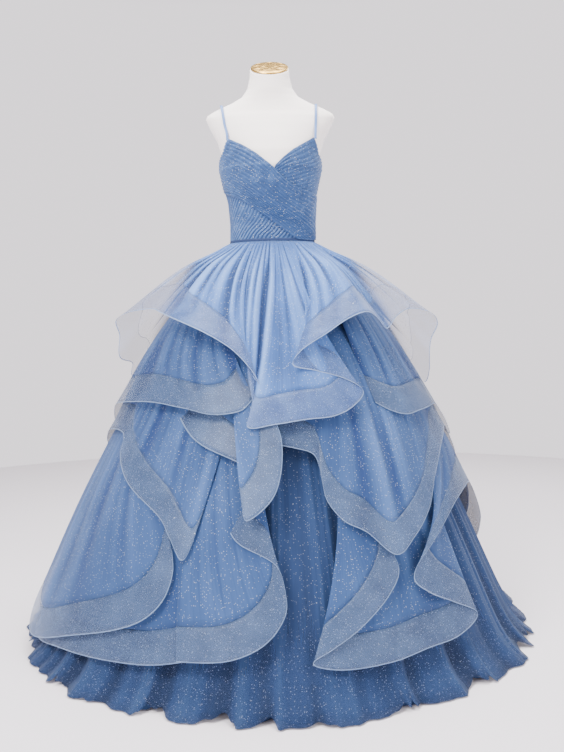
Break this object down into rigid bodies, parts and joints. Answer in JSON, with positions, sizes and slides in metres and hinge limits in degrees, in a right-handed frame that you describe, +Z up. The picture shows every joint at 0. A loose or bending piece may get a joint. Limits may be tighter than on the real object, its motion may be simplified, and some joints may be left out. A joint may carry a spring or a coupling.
{
  "type": "prom dress on a torso dress form",
  "caption": "Floor-length strappy V-neck ball gown with a ruched wrap bodice and cascading braid-edged tulle flounces, standing on a limbless torso form",
  "frame": {"origin": "centre of the stand base's underside, on the floor under the middle of the dress", "axes": "+Z up, dress faces -Y, +X on the viewer's right"},
  "size_m": [1.4248, 1.4247, 1.61],
  "materials": {
    "glitter_tulle": "glitter tulle",
    "horsehair_braid": "stiff open braid",
    "ruched_tulle": "pleated tulle over satin",
    "waist_tape": "matt ribbed",
    "form_jersey": "matt knit",
    "neck_cap": "brushed",
    "stand_steel": "satin"
  },
  "bodies": {
    "root": {"back_placket": "waist_tape", "base_skirt": "glitter_tulle", "bodice_back_left": "ruched_tulle", "bodice_back_right": "ruched_tulle", "bodice_left_cup": "ruched_tulle", "bodice_right_cup": "ruched_tulle", "bodice_under_wrap": "ruched_tulle", "braid_leaf": "horsehair_braid", "braid_lowest": "horsehair_braid", "braid_second": "horsehair_braid", "braid_third": "horsehair_braid", "braid_top": "horsehair_braid", "flounce_leaf": "glitter_tulle", "flounce_lowest": "glitter_tulle", "flounce_second": "glitter_tulle", "flounce_third": "glitter_tulle", "flounce_top": "glitter_tulle", "form_torso": "form_jersey", "neck_cap": "neck_cap", "stand_base": "stand_steel", "stand_pole": "stand_steel", "strap_left": "ruched_tulle", "strap_right": "ruched_tulle", "waist_tape": "waist_tape"}
  },
  "joints": []
}
